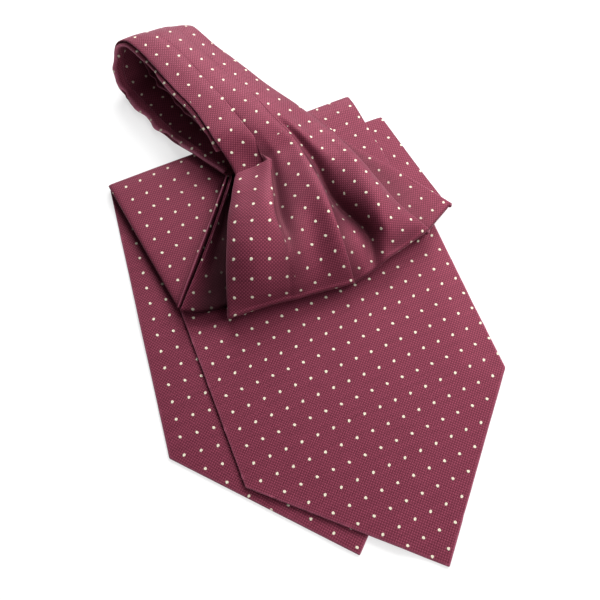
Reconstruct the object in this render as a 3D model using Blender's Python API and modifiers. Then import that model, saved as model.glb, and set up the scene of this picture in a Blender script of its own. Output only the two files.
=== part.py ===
"""A silk day cravat, folded and laid on a table.

The cravat is one long made-up strip: a blade at each end, wide and pointed,
and a narrow pleated neckband between them.  It lies with the neckband doubled
into a loop and both blades brought together, folded back at one line and
forward again at a second line, so each half shows as blade, return and gather.

Layout axes: +X right, +Y towards the neckband, +Z up off the table.  The
tables below are in millimetres; the model is built in metres.
"""

import math

import bmesh
import bpy
from mathutils import Matrix, Vector

MM = 0.001

# Cloth
WALL = 1.5              # made-up silk: two plies and an interlining
BAND_WALL = 3.0         # neckband: the same cloth in pressed pleats
SEAM_GAP = 0.3          # between neighbouring stretches
LAYER = WALL + SEAM_GAP
DRAPE = 16.0            # plan distance over which a layer eases down, one facet past an edge

# Blades: a straight strip with a square point
BLADE_WIDTH = 142.5
POINT_LENGTH = BLADE_WIDTH / 2

# Middle of the folded cravat's plan box, which becomes the origin
MIDDLE_X = -2.3
MIDDLE_Y = 15.0

# How finely the sheets are faceted
FLAT_STEP = 12.0
NORMAL_HINT_UP = Vector((0, 0, 1))

# The four flat layers, lowest first: each outline runs round anticlockwise.
# name, outline corners (x, y)
REAR_TURN = 19.1        # degrees the rear blade's width is turned from +X
FRONT_TURN = 24.5
REAR_TIP = (27.6, -126.0)
FRONT_TIP = (68.5, -131.0)
REAR_FOLD = ((-105.4, 64.6), (28.6, 124.0))      # upper fold, left and right ends
FRONT_FOLD = ((-86.4, 53.2), (47.3, 110.0))
REAR_LOWER_FOLD = ((-62.4, -7.5), (67.0, 42.6))  # lower fold, left and right ends
FRONT_LOWER_FOLD = ((-34.0, -10.5), (82.0, 53.5))

# Fold lines of the front gather, from the end of the neckband (first point)
# to the lower fold (last point): x, y and height of the cloth's upper face.
FRONT_GATHER = (
    # name            top, upper, middle, lower, fold
    ("left underlay",  (-24, 59, 15), (-24, 38, 16.5), (-24, 19, 16.5), (-25, 6, 14), (-25, -3, 10.2)),
    ("left edge",      (-33.7, 62, 22), (-36, 40, 26), (-37, 20, 27), (-37, 0, 20), (-36.7, -13.8, 11.5)),
    ("left crown",     (-24.7, 66, 24.5), (-25, 43, 30), (-23.6, 20, 32), (-21.8, 2, 25), (-21, -9.8, 12)),
    ("pleat edge",     (-15.6, 70, 26), (-14.4, 50, 29.5), (-9.6, 32, 29), (-3, 14, 24), (2.5, -2.6, 12)),
    ("pleat foot",     (-11.5, 71.5, 23.5), (-9.5, 51.5, 24.5), (-4.5, 34, 26), (3.5, 15.5, 23), (10.5, 0, 12)),
    ("middle hollow",  (-4.2, 76.5, 24.5), (1, 55, 24), (7, 37, 24.5), (13.5, 18, 20.5), (19, 1.6, 12)),
    ("ridge",          (3, 84.5, 24.5), (9.8, 58, 27), (17.5, 36, 28), (23.8, 18, 22), (28.4, 3.2, 12)),
    ("trough",         (5.5, 91.5, 20), (17, 64, 14.8), (25.5, 42, 12.8), (32, 24, 12), (37.5, 7.5, 11.5)),
    ("right crown",    (7, 98, 19), (25.5, 71, 22), (36.5, 46.5, 25), (44.5, 31.5, 20), (51.5, 20.8, 12)),
    ("right edge",     (6.8, 104, 16.5), (22, 87, 16.5), (36.8, 67.4, 18), (50, 49.5, 16.5), (69.2, 37, 12)),
    ("right foot",     (8.5, 102.5, 12.5), (22, 85, 12), (37, 66, 12), (52, 50.5, 11.5), (71, 40, 10)),
    ("right underlap", (9.5, 104.5, 10.5), (25, 92, 9.2), (45, 78, 9), (63, 66, 9), (83, 53, 8)),
)
# The lower fold rolls under: distance out past the fold line, drop below it
FOLD_ROLL = ((1.3, 0.5), (2.0, 2.2), (1.2, 4.6))
ROLL_FLOOR = 7.0        # upper face of the roll's lowest edge: clear of the layer below

# Rear gather: from the lower strand of the neckband to the rear lower fold
REAR_GATHER = (
    ("left edge",   (-38.6, 66.5, 12.6), (-45.6, 46.0, 11.0), (-52.2, 22.0, 10.0), (-61.6, -6.9, 9.2)),
    ("left hollow", (-29.0, 70.5, 12.0), (-33.0, 47.0, 9.2), (-34.0, 22.0, 9.0), (-37.5, 2.0, 9.0)),
    ("middle",      (-17.0, 77.5, 12.0), (-11.0, 52.0, 9.0), (-3.0, 30.0, 9.0), (2.0, 17.5, 9.0)),
    ("right edge",  (-5.0, 85.5, 11.0), (17.0, 69.0, 9.0), (36.0, 53.5, 9.0), (53.0, 40.0, 9.0)),
)

# Neckband: its outer face, followed from the front gather round the loop and back
# under to the rear gather.  One row for each section, four points across it.
NECKBAND = (
    # section        left edge, left pleat, right pleat, right edge
    ("front gather",  (-34.3, 62.9, 22.5), (-16.1, 70.5, 26.2), (2.4, 85.4, 24.6), (6.2, 104.8, 16.8)),
    ("throat",        (-44.5, 79.0, 26.0), (-27.0, 85.5, 28.2), (-11.0, 96.5, 26.4), (-5.5, 112.5, 17.2)),
    ("upper one",     (-56.0, 97.0, 28.5), (-42.0, 105.0, 30.0), (-28.5, 112.0, 27.5), (-20.5, 123.5, 18.8)),
    ("upper two",     (-68.5, 110.8, 30.0), (-55.0, 120.5, 31.0), (-43.0, 125.5, 28.0), (-34.5, 135.5, 20.0)),
    ("upper three",   (-82.6, 128.0, 31.5), (-69.5, 137.0, 31.5), (-58.5, 142.0, 28.5), (-50.0, 149.0, 21.0)),
    ("brow",          (-95.0, 140.8, 31.8), (-81.0, 147.5, 30.5), (-69.5, 152.5, 27.0), (-60.0, 157.0, 21.5)),
    ("turn high",     (-103.0, 144.0, 27.5), (-87.5, 152.3, 25.0), (-75.0, 157.2, 22.0), (-64.5, 160.6, 17.5)),
    ("turn middle",   (-107.8, 139.5, 18.0), (-91.0, 150.5, 16.5), (-78.5, 156.5, 15.0), (-67.5, 160.6, 12.0)),
    ("turn low",      (-107.8, 133.0, 8.0), (-91.0, 145.0, 7.5), (-78.5, 152.5, 7.0), (-67.0, 157.8, 6.5)),
    ("turn foot",     (-103.0, 126.5, 1.8), (-87.0, 139.5, 1.8), (-74.5, 147.5, 1.8), (-63.0, 153.0, 1.8)),
    ("lower one",     (-96.0, 118.5, 0.6), (-80.5, 131.5, 0.6), (-68.0, 139.5, 0.6), (-56.5, 145.5, 0.6)),
    ("lower two",     (-84.0, 105.0, 0.6), (-69.0, 118.0, 0.6), (-56.0, 126.0, 0.6), (-44.0, 133.0, 0.6)),
    ("lower three",   (-73.0, 93.5, 3.0), (-58.5, 104.5, 3.0), (-44.5, 112.5, 3.0), (-31.5, 119.5, 3.0)),
    ("lower four",    (-61.0, 82.5, 8.2), (-46.5, 91.5, 8.4), (-31.0, 99.0, 8.4), (-17.0, 105.5, 8.4)),
    ("rear gather",   (-39.0, 67.3, 9.6), (-28.5, 72.5, 9.6), (-17.5, 79.0, 9.5), (-5.6, 86.6, 9.4)),
)
# The neckband's three stretches: first and last section, rows of facets
NECKBAND_STRETCHES = (
    ("neckband_upper", 0, 4, 8),
    ("neckband_turn", 4, 10, 12),
    ("neckband_lower", 10, 14, 8),
)
END_GAP = 0.04          # share of one section left open between stretches

# Hidden layers under the front gather: which fold lines and how far along them
CORE_LINES = ("left crown", "pleat edge", "middle hollow", "ridge")
CORE_ACROSS = (0.1, 0.93)
CORE_ALONG = (0.2, 0.88)
CORE_INSET = 5.2        # below the gather's upper face
CORE_FLOOR = 10.2       # just above the rear gather

SILK = (0.196, 0.047, 0.078, 1.0)
SILK_SHADED = (0.150, 0.036, 0.060, 1.0)


def clear_scene():
    for obj in list(bpy.data.objects):
        bpy.data.objects.remove(obj, do_unlink=True)


def silk_material(name, colour):
    material = bpy.data.materials.new(name)
    material.use_nodes = True
    shader = material.node_tree.nodes["Principled BSDF"]
    shader.inputs["Base Color"].default_value = colour
    shader.inputs["Roughness"].default_value = 0.55
    shader.inputs["Metallic"].default_value = 0.0
    shader.inputs["Sheen Weight"].default_value = 0.3
    return material


def at(x, y, z):
    """Layout millimetres to model metres, with the origin at the plan's middle."""
    return Vector(((x - MIDDLE_X) * MM, (y - MIDDLE_Y) * MM, z * MM))


# ---------------------------------------------------------------- outlines

def blade_outline(tip, turn, fold):
    """Anticlockwise corners: fold ends, side corners and the square point."""
    across = Vector((math.cos(math.radians(turn)), math.sin(math.radians(turn))))
    along = Vector((-across.y, across.x))
    point = Vector(tip)
    left = point + along * POINT_LENGTH - across * BLADE_WIDTH / 2
    right = point + along * POINT_LENGTH + across * BLADE_WIDTH / 2
    return [Vector(fold[0]), left, point, right, Vector(fold[1])]


def return_outline(upper_fold, lower_fold):
    return [Vector(upper_fold[0]), Vector(lower_fold[0]), Vector(lower_fold[1]), Vector(upper_fold[1])]


LAYERS = (
    ("rear_blade", blade_outline(REAR_TIP, REAR_TURN, REAR_FOLD)),
    ("front_blade", blade_outline(FRONT_TIP, FRONT_TURN, FRONT_FOLD)),
    ("front_return", return_outline(FRONT_FOLD, FRONT_LOWER_FOLD)),
    ("rear_return", return_outline(REAR_FOLD, REAR_LOWER_FOLD)),
)


def edges_of(outline):
    """Each edge as its start and its outward normal."""
    for start, end in zip(outline, outline[1:] + outline[:1]):
        run = (end - start).normalized()
        yield start, Vector((run.y, -run.x))


def distance_outside(outline, x, y):
    """Negative inside a convex outline, positive outside it."""
    point = Vector((x, y))
    return max((point - start).dot(normal) for start, normal in edges_of(outline))


def smooth_step(value):
    value = min(max(value, 0.0), 1.0)
    return value * value * (3 - 2 * value)


def underside(level, x, y):
    """Height of a flat layer's underside: it lies on every layer below it."""
    height = 0.0
    for _, outline in LAYERS[:level]:
        beyond = distance_outside(outline, x, y) - FLAT_STEP
        height += LAYER * (1 - smooth_step(beyond / DRAPE))
    return height


# ---------------------------------------------------------------- sheets

def curve_through(points, share):
    """Point at a share (0 to 1) along a smooth curve through the points."""
    last = len(points) - 1
    place = min(max(share, 0.0), 1.0) * last
    index = min(int(place), last - 1)
    t = place - index
    p1 = Vector(points[index])
    p2 = Vector(points[index + 1])
    p0 = Vector(points[index - 1]) if index > 0 else p1 * 2 - p2
    p3 = Vector(points[index + 2]) if index + 2 <= last else p2 * 2 - p1
    m1 = (p2 - p0) / 2
    m2 = (p3 - p1) / 2
    if index > 0:
        m1 *= min(1.0, 2 * (p2 - p1).length / (p2 - p0).length)
    if index + 2 <= last:
        m2 *= min(1.0, 2 * (p2 - p1).length / (p3 - p1).length)
    t2 = t * t
    t3 = t2 * t
    return p1 * (2 * t3 - 3 * t2 + 1) + m1 * (t3 - 2 * t2 + t) + p2 * (3 * t2 - 2 * t3) + m2 * (t3 - t2)


def section(lines, share):
    """Where each fold line is at a share of its length."""
    return [curve_through(points, share) for points in lines]


def roll_under(lines):
    """Rows that carry the last section out, down and back under itself."""
    edge = section(lines, 1.0)
    before = section(lines, 0.96)
    rows = []
    for out, drop in FOLD_ROLL:
        row = []
        for here, back in zip(edge, before):
            away = here - back
            away.z = 0
            point = here + away.normalized() * out
            point.z = max(here.z - drop, min(ROLL_FLOOR, here.z))
            row.append(point)
        rows.append(row)
    return rows


def add_object(name, mesh, material):
    mesh.materials.append(material)
    mesh.shade_smooth()
    obj = bpy.data.objects.new(name, mesh)
    cravat.objects.link(obj)
    return obj


def give_wall(obj, thickness):
    wall = obj.modifiers.new("cloth wall", "SOLIDIFY")
    wall.thickness = thickness * MM
    wall.offset = -1
    wall.use_quality_normals = True


def sheet(name, rows, facing, across_steps, wall, material):
    """A grid laid through the rows; its normals face the hint, its wall grows behind."""
    cells_across = across_steps * (len(rows[0]) - 1)
    cells_along = len(rows) - 1
    bm = bmesh.new()
    bmesh.ops.create_grid(bm, x_segments=cells_across, y_segments=cells_along, size=0.5)
    for vert in bm.verts:
        row = rows[round((vert.co.y + 0.5) * cells_along)]
        vert.co = at(*curve_through(row, vert.co.x + 0.5))
    bm.normal_update()
    if sum(face.normal.dot(facing) * face.calc_area() for face in bm.faces) < 0:
        bmesh.ops.reverse_faces(bm, faces=bm.faces)
    mesh = bpy.data.meshes.new(name)
    bm.to_mesh(mesh)
    bm.free()
    obj = add_object(name, mesh, material)
    give_wall(obj, wall)
    return obj


def flat_layer(level, material):
    """A grid over the outline's box, trimmed at each edge and laid on what is below."""
    name, outline = LAYERS[level]
    low = Vector((min(p.x for p in outline), min(p.y for p in outline)))
    high = Vector((max(p.x for p in outline), max(p.y for p in outline)))
    size = high - low
    bm = bmesh.new()
    cells_x, cells_y = round(size.x / FLAT_STEP), round(size.y / FLAT_STEP)
    bmesh.ops.create_grid(bm, x_segments=cells_x, y_segments=cells_y, size=0.5)
    stretch = Matrix.Diagonal((size.x, size.y, 1))
    bmesh.ops.transform(bm, matrix=stretch.to_4x4(), verts=bm.verts)
    middle = (low + high) / 2
    bmesh.ops.translate(bm, vec=middle.to_3d(), verts=bm.verts)
    for start, normal in edges_of(outline):
        everything = list(bm.verts) + list(bm.edges) + list(bm.faces)
        bmesh.ops.bisect_plane(bm, geom=everything, plane_co=start.to_3d(), plane_no=normal.to_3d(),
                               dist=0.01, clear_outer=True)
    bmesh.ops.remove_doubles(bm, verts=bm.verts, dist=0.05)
    for vert in bm.verts:
        vert.co = at(vert.co.x, vert.co.y, underside(level, vert.co.x, vert.co.y) + WALL)
    bm.normal_update()
    if sum(face.normal.z for face in bm.faces) < 0:
        bmesh.ops.reverse_faces(bm, faces=bm.faces)
    mesh = bpy.data.meshes.new(name)
    bm.to_mesh(mesh)
    bm.free()
    obj = add_object(name, mesh, material)
    give_wall(obj, WALL)
    return obj


def lines_of(table):
    return [row[1:] for row in table]


def neckband(material):
    """One band cut into three stretches; each wall grows towards the inside of the loop."""
    lines = [[row[column] for row in NECKBAND] for column in range(1, len(NECKBAND[0]))]
    last = len(NECKBAND) - 1
    for name, first, final, steps in NECKBAND_STRETCHES:
        start = first + (END_GAP if first > 0 else 0)
        shares = [(start + (final - start) * i / steps) / last for i in range(steps + 1)]
        rows = [section(lines, share) for share in shares]
        middle = rows[steps // 2]
        inside = section(lines, 1 - shares[steps // 2])
        facing = middle[1] - inside[1] if name != "neckband_turn" else Vector((-0.6, 0.8, 0.0))
        sheet(name, rows, facing, 3, BAND_WALL, material)


def folded_core(material):
    """The hidden pleats in one rounded solid: the gather's own form, set in and made solid."""
    lines = [row[1:] for row in FRONT_GATHER if row[0] in CORE_LINES]
    start, end = CORE_ALONG
    left, right = CORE_ACROSS
    steps = 9
    rows = [section(lines, start + (end - start) * i / steps) for i in range(steps + 1)]
    cells_across = 2 * (len(lines) - 1)
    bm = bmesh.new()
    bmesh.ops.create_grid(bm, x_segments=cells_across, y_segments=steps, size=0.5)
    for vert in bm.verts:
        across, along = vert.co.x + 0.5, vert.co.y + 0.5
        point = curve_through(rows[round(along * steps)], left + (right - left) * across)
        across, along = min(max(across, 0.0), 1.0), min(max(along, 0.0), 1.0)
        rim = math.sin(math.pi * across) * math.sin(math.pi * along)
        roundness = smooth_step(rim * 2.5)
        top = max(point.z - CORE_INSET, CORE_FLOOR + 1.0)
        vert.co = at(point.x, point.y, CORE_FLOOR + 1.0 + (top - CORE_FLOOR - 1.0) * roundness)
    crown = list(bm.faces)
    skirt = bmesh.ops.extrude_face_region(bm, geom=crown)
    for item in skirt["geom"]:
        if isinstance(item, bmesh.types.BMVert):
            item.co.z = CORE_FLOOR * MM
    bmesh.ops.recalc_face_normals(bm, faces=bm.faces)
    mesh = bpy.data.meshes.new("folded_core")
    bm.to_mesh(mesh)
    bm.free()
    return add_object("folded_core", mesh, material)


def build():
    silk = silk_material("silk", SILK)
    shaded = silk_material("silk shaded", SILK_SHADED)

    for level in range(len(LAYERS)):
        flat_layer(level, silk)

    rear = lines_of(REAR_GATHER)
    sheet("rear_gather", [section(rear, i / 8) for i in range(9)], NORMAL_HINT_UP, 3, WALL, shaded)

    front = lines_of(FRONT_GATHER)
    rows = [section(front, i / 12) for i in range(13)] + roll_under(front)
    sheet("front_gather", rows, NORMAL_HINT_UP, 3, WALL, silk)

    neckband(silk)
    folded_core(shaded)


clear_scene()
cravat = bpy.data.collections.new("silk cravat")
bpy.context.scene.collection.children.link(cravat)
build()
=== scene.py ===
# %% [markdown]
# # A silk day cravat, folded and laid on a table
# The real thing is one long strip of woven silk: a wide pointed blade at each
# end and a narrow pleated neckband between them.  Here it lies with the
# neckband doubled into a loop and both blades brought together, folded back
# once and forward again, so that each half shows a blade, a return and a
# gather.  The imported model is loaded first, as a fixed frame to work inside.

# %% Load the frame
import math

import bmesh
import bpy
from mathutils import Matrix, Vector, noise


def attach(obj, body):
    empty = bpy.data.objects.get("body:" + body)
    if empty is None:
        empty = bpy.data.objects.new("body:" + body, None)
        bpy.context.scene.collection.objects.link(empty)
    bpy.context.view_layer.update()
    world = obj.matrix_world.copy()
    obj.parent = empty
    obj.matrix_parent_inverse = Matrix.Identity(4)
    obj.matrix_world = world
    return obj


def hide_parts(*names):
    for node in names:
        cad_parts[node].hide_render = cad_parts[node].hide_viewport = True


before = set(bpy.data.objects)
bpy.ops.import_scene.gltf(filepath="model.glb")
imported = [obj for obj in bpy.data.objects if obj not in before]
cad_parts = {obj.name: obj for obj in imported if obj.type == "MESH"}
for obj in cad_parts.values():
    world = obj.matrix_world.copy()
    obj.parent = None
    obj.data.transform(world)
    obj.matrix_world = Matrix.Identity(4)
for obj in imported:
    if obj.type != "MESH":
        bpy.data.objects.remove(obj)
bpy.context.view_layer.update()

for node in sorted(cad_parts):
    print("frame node", node)

# %% [markdown]
# ## Units and curves
# All tables are in millimetres on a layout plan whose origin is near the
# middle of the folded cravat, and `at` turns them into model metres.  Cloth is
# shaped by fold lines, so the one curve used everywhere is a smooth curve
# that goes through its points and doesn't overshoot where they are close.

# %% Units and curves
MM = 0.001
MIDDLE_X = -2.3          # layout middle, which is the model's origin
MIDDLE_Y = 15.0


def at(point):
    """Layout millimetres to model metres."""
    return Vector(((point[0] - MIDDLE_X) * MM, (point[1] - MIDDLE_Y) * MM, point[2] * MM))


def curve_through(points, share):
    """Point at a share (0 to 1) along a smooth curve through the points."""
    last = len(points) - 1
    place = min(max(share, 0.0), 1.0) * last
    index = min(int(place), last - 1)
    t = place - index
    p1, p2 = Vector(points[index]), Vector(points[index + 1])
    p0 = Vector(points[index - 1]) if index > 0 else p1 * 2 - p2
    p3 = Vector(points[index + 2]) if index + 2 <= last else p2 * 2 - p1
    span = (p2 - p1).length
    m1, m2 = (p2 - p0) / 2, (p3 - p1) / 2
    m1 *= min(1.0, 2 * span / max((p2 - p0).length, 1e-6))
    m2 *= min(1.0, 2 * span / max((p3 - p1).length, 1e-6))
    t2, t3 = t * t, t * t * t
    return p1 * (2 * t3 - 3 * t2 + 1) + m1 * (t3 - 2 * t2 + t) + p2 * (3 * t2 - 2 * t3) + m2 * (t3 - t2)


def smooth_step(value):
    value = min(max(value, 0.0), 1.0)
    return value * value * (3 - 2 * value)


# %% [markdown]
# ## The silk
# Cravat silk is woven in a small basket weave of pink and dark claret threads,
# with cream dots floated on top.  A picture could be tiled over it, but a
# pattern made in nodes stays sharp at any distance and follows the cloth's own
# grain: each piece carries a UV map which is the flat cloth in metres, with
# the warp along V.  Deep folds are darker than the lamps alone make them, so a
# value on the mesh dims the colour there as painted shade, and another paints
# a pink highlight along folded rims.  The half that lies behind uses a shaded
# copy of the same silk, with less sheen and gloss, as painted shade.

# %% Silk material
DOT_ACROSS = 8.4         # mm between dots across the cloth
DOT_ALONG = 9.0          # mm between dots along it
DOT_RADIUS = 0.71
THREAD_CELL = 0.84       # one cell of the basket weave
# painted highlight: the pink that folded rims are lightened towards
HIGHLIGHT_PINK = (0.42, 0.13, 0.20, 1)
HIGHLIGHT_SHARE = 0.35        # how far a painted rim highlight goes towards it
PAINTED_SHADE_STRENGTH = 0.93      # how much colour painted shade takes away deep in a fold
CLARET_DARK = (0.055, 0.0082, 0.017, 1)
CLARET_PINK = (0.136, 0.0262, 0.047, 1)
CREAM = (0.525, 0.525, 0.405, 1)


class Nodes:
    """A few short ways of adding nodes to one material."""

    def __init__(self, material):
        self.tree = material.node_tree

    def add(self, kind, **values):
        node = self.tree.nodes.new(kind)
        for name, value in values.items():
            setattr(node, name, value)
        return node

    def wire(self, source, target):
        if isinstance(source, (int, float)):
            target.default_value = source
        else:
            self.tree.links.new(source, target)

    def math(self, operation, *sources):
        node = self.add("ShaderNodeMath", operation=operation)
        for source, target in zip(sources, node.inputs):
            self.wire(source, target)
        return node.outputs[0]

    def ramp(self, source, low, high, start=0.0, end=1.0):
        node = self.add("ShaderNodeMapRange", interpolation_type="SMOOTHSTEP")
        self.wire(source, node.inputs["Value"])
        for name, value in (("From Min", low), ("From Max", high), ("To Min", start), ("To Max", end)):
            node.inputs[name].default_value = value
        return node.outputs["Result"]


def colour_socket(node, name):
    return [s for s in node.inputs if s.name == name and s.type == "RGBA"][0]


def silk_material(name, sheen=0.22, specular=0.55):
    material = bpy.data.materials.new(name)
    material.use_nodes = True
    n = Nodes(material)
    shader = material.node_tree.nodes["Principled BSDF"]

    flat_cloth = n.add("ShaderNodeUVMap", uv_map="cloth")
    millimetres = n.add("ShaderNodeMapping")
    millimetres.inputs["Scale"].default_value = (1000, 1000, 1000)
    n.wire(flat_cloth.outputs[0], millimetres.inputs["Vector"])
    axes = n.add("ShaderNodeSeparateXYZ")
    n.wire(millimetres.outputs[0], axes.inputs[0])
    u, v = axes.outputs[0], axes.outputs[1]

    # basket weave: pillows of weft where this product is above nought, of warp below
    across = n.math("SINE", n.math("MULTIPLY", u, math.pi / THREAD_CELL))
    along = n.math("SINE", n.math("MULTIPLY", v, math.pi / THREAD_CELL))
    weave = n.math("MULTIPLY", across, along)
    pillow = n.math("SQRT", n.math("ABSOLUTE", weave))

    # dots on a lattice along the grain
    def from_centre(axis, pitch):
        share = n.math("FRACT", n.math("ADD", n.math("DIVIDE", axis, pitch), 0.5))
        return n.math("MULTIPLY", n.math("SUBTRACT", share, 0.5), pitch)
    du = from_centre(u, DOT_ACROSS)
    dv = from_centre(v, DOT_ALONG)
    reach = n.math("SQRT", n.math("ADD", n.math("MULTIPLY", du, du), n.math("MULTIPLY", dv, dv)))
    ragged = n.math("MULTIPLY_ADD", weave, 0.10, reach)
    dot = n.ramp(ragged, DOT_RADIUS - 0.14, DOT_RADIUS + 0.14, 1.0, 0.0)

    # uneven thread colour, stretched along the weft
    slub = n.add("ShaderNodeTexNoise")
    slub.inputs["Scale"].default_value = 0.55
    slub.inputs["Detail"].default_value = 3.0
    stretched = n.add("ShaderNodeMapping")
    stretched.inputs["Scale"].default_value = (0.12, 1.4, 1.0)
    n.wire(millimetres.outputs[0], stretched.inputs["Vector"])
    n.wire(stretched.outputs[0], slub.inputs["Vector"])
    slubbed = n.ramp(slub.outputs["Fac"], 0.3, 0.7, 0.9, 1.1)

    # painted shade: colour dimmed deep in folds, darker than the lamps alone make it
    deep = n.add("ShaderNodeAttribute", attribute_name="painted_fold_shade", attribute_type="GEOMETRY")

    mix = n.add("ShaderNodeMix", data_type="RGBA")
    n.wire(n.ramp(weave, -0.25, 0.55), mix.inputs["Factor"])
    colour_socket(mix, "A").default_value = CLARET_DARK
    colour_socket(mix, "B").default_value = CLARET_PINK
    ground = [s for s in mix.outputs if s.type == "RGBA"][0]

    # painted highlight: folded rims mixed towards a light pink
    highlight_attribute = n.add("ShaderNodeAttribute", attribute_name="painted_rim_highlight", attribute_type="GEOMETRY")
    rim_highlight = n.add("ShaderNodeMix", data_type="RGBA")
    n.wire(n.math("MULTIPLY", highlight_attribute.outputs["Fac"], HIGHLIGHT_SHARE), rim_highlight.inputs["Factor"])
    n.wire(ground, colour_socket(rim_highlight, "A"))
    colour_socket(rim_highlight, "B").default_value = HIGHLIGHT_PINK

    shade = n.add("ShaderNodeHueSaturation")
    n.wire([s for s in rim_highlight.outputs if s.type == "RGBA"][0], shade.inputs["Color"])
    n.wire(slubbed, shade.inputs["Value"])

    dotted = n.add("ShaderNodeMix", data_type="RGBA")
    n.wire(dot, dotted.inputs["Factor"])
    n.wire(shade.outputs[0], colour_socket(dotted, "A"))
    colour_socket(dotted, "B").default_value = CREAM
    painted_shade_colour = n.add("ShaderNodeHueSaturation")
    n.wire([s for s in dotted.outputs if s.type == "RGBA"][0], painted_shade_colour.inputs["Color"])
    n.wire(n.math("MULTIPLY_ADD", deep.outputs["Fac"], -PAINTED_SHADE_STRENGTH, 1.0), painted_shade_colour.inputs["Value"])
    n.wire(painted_shade_colour.outputs[0], shader.inputs["Base Color"])

    gloss = n.ramp(weave, -0.4, 0.6, 0.6, 0.48)
    n.wire(gloss, shader.inputs["Roughness"])
    height = n.math("ADD", n.math("MULTIPLY", pillow, 0.5), n.math("MULTIPLY", dot, 0.8))
    bump = n.add("ShaderNodeBump")
    bump.inputs["Strength"].default_value = 0.75
    bump.inputs["Distance"].default_value = 0.0002
    n.wire(height, bump.inputs["Height"])
    n.wire(bump.outputs[0], shader.inputs["Normal"])

    shader.inputs["Sheen Weight"].default_value = sheen
    shader.inputs["Sheen Roughness"].default_value = 0.4
    shader.inputs["Sheen Tint"].default_value = (1.0, 0.36, 0.50, 1)
    shader.inputs["Specular IOR Level"].default_value = specular
    shader.inputs["Specular Tint"].default_value = (1.0, 0.24, 0.36, 1)
    return material


silk = silk_material("dotted silk")
# a shaded copy of the silk, with less sheen and gloss: painted shade for the rear half's hollow
shaded_silk = silk_material("dotted silk, shaded copy", sheen=0.03, specular=0.15)
print("dots every", DOT_ACROSS, "by", DOT_ALONG, "mm, weave cell", THREAD_CELL, "mm")

# %% [markdown]
# ## Finishing any stretch of cloth
# Every stretch starts as a thin surface.  It gets the flat-cloth UV map, then
# thickness from Solidify and softness from one level of Subdivision Surface,
# so the folded edges come out round, as pressed silk's do.  Unwrapping gives
# the flattened shape; it is then scaled to real size and turned and moved so
# that the warp runs as asked and one dot falls on a chosen spot.

# %% Cloth finishing helpers
CLOTH_WALL = 1.2
PIECES = {}


def keep(bm, name, material=silk):
    mesh = bpy.data.meshes.new(name)
    bm.to_mesh(mesh)
    bm.free()
    mesh.materials.append(material)
    mesh.shade_smooth()
    obj = bpy.data.objects.new(name, mesh)
    bpy.context.scene.collection.objects.link(obj)
    PIECES[name] = obj
    return obj


def give_wall(obj, thickness=CLOTH_WALL, levels=1):
    wall = obj.modifiers.new("cloth wall", "SOLIDIFY")
    wall.thickness = thickness * MM
    wall.offset = -1
    wall.use_quality_normals = True
    soft = obj.modifiers.new("soft edges", "SUBSURF")
    soft.levels = levels
    soft.render_levels = levels


def unwrap(obj):
    """Flatten the surface, island by island, between its seams."""
    mesh = obj.data
    mesh.uv_layers.new(name="cloth")
    bpy.context.view_layer.objects.active = obj
    obj.select_set(True)
    bpy.ops.object.mode_set(mode="EDIT")
    bpy.ops.mesh.select_all(action="SELECT")
    bpy.ops.uv.unwrap(method="MINIMUM_STRETCH", iterations=10, margin=0.001)
    bpy.ops.object.mode_set(mode="OBJECT")
    obj.select_set(False)


def islands_of(mesh):
    """Groups of faces joined across edges that aren't seams."""
    seam = {tuple(sorted(e.vertices)) for e in mesh.edges if e.use_seam}
    by_edge = {}
    for poly in mesh.polygons:
        for key in poly.edge_keys:
            key = tuple(sorted(key))
            if key not in seam:
                by_edge.setdefault(key, []).append(poly.index)
    group = list(range(len(mesh.polygons)))

    def root(i):
        while group[i] != i:
            group[i] = group[group[i]]
            i = group[i]
        return i
    for faces in by_edge.values():
        for other in faces[1:]:
            group[root(other)] = root(faces[0])
    islands = {}
    for poly in mesh.polygons:
        islands.setdefault(root(poly.index), []).append(poly)
    return list(islands.values())


def lay_pattern(obj, anchors):
    """Scale each island to real size, then turn and move it to its anchor.

    An anchor is a spot on the plan (mm) where a dot sits, the plan angle of
    the warp there, in degrees from +X, and how far the cloth is stretched.
    """
    mesh = obj.data
    uv = mesh.uv_layers["cloth"].data
    for island in islands_of(mesh):
        area = sum(p.area for p in island)
        flat = 0.0
        for p in island:
            corners = [uv[i].uv for i in p.loop_indices]
            flat += abs(sum(a.cross(b) for a, b in zip(corners, corners[1:] + corners[:1]))) / 2
        real_size = math.sqrt(area / max(flat, 1e-12))
        best = None
        for x, y, angle, stretch in anchors:
            spot = at((x, y, 0))
            for p in island:
                gap = (p.center.xy - spot.xy).length - (0.002 if p.normal.z > 0.2 else -0.05)
                if best is None or gap < best[0]:
                    best = (gap, p, spot, angle, stretch)
        _, p, spot, angle, stretch = best
        scale = real_size / stretch
        loops = list(p.loop_indices)[:3]
        a, b, c = (mesh.vertices[mesh.loops[i].vertex_index].co.xy for i in loops)
        ua, ub, uc = (uv[i].uv * scale for i in loops)
        plan = Matrix(((b.x - a.x, c.x - a.x), (b.y - a.y, c.y - a.y)))
        cloth = Matrix(((ub.x - ua.x, uc.x - ua.x), (ub.y - ua.y, uc.y - ua.y)))
        to_cloth = cloth @ plan.inverted()
        warp = (to_cloth @ Vector((math.cos(math.radians(angle)), math.sin(math.radians(angle))))).normalized()
        weft = Vector((warp.y, -warp.x))
        dot = ua + to_cloth @ (spot.xy - a)
        for q in island:
            for i in q.loop_indices:
                here = uv[i].uv * scale - dot
                uv[i].uv = (here.dot(weft), here.dot(warp))


def write_attribute(obj, name, amounts):
    layer = obj.data.attributes.new(name, "FLOAT", "POINT")
    for item, amount in zip(layer.data, amounts):
        item.value = amount


def ripple(point, size, depth, seed):
    """A small smooth unevenness in the cloth."""
    return depth * noise.noise(Vector((point.x / size, point.y / size, seed)))


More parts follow.
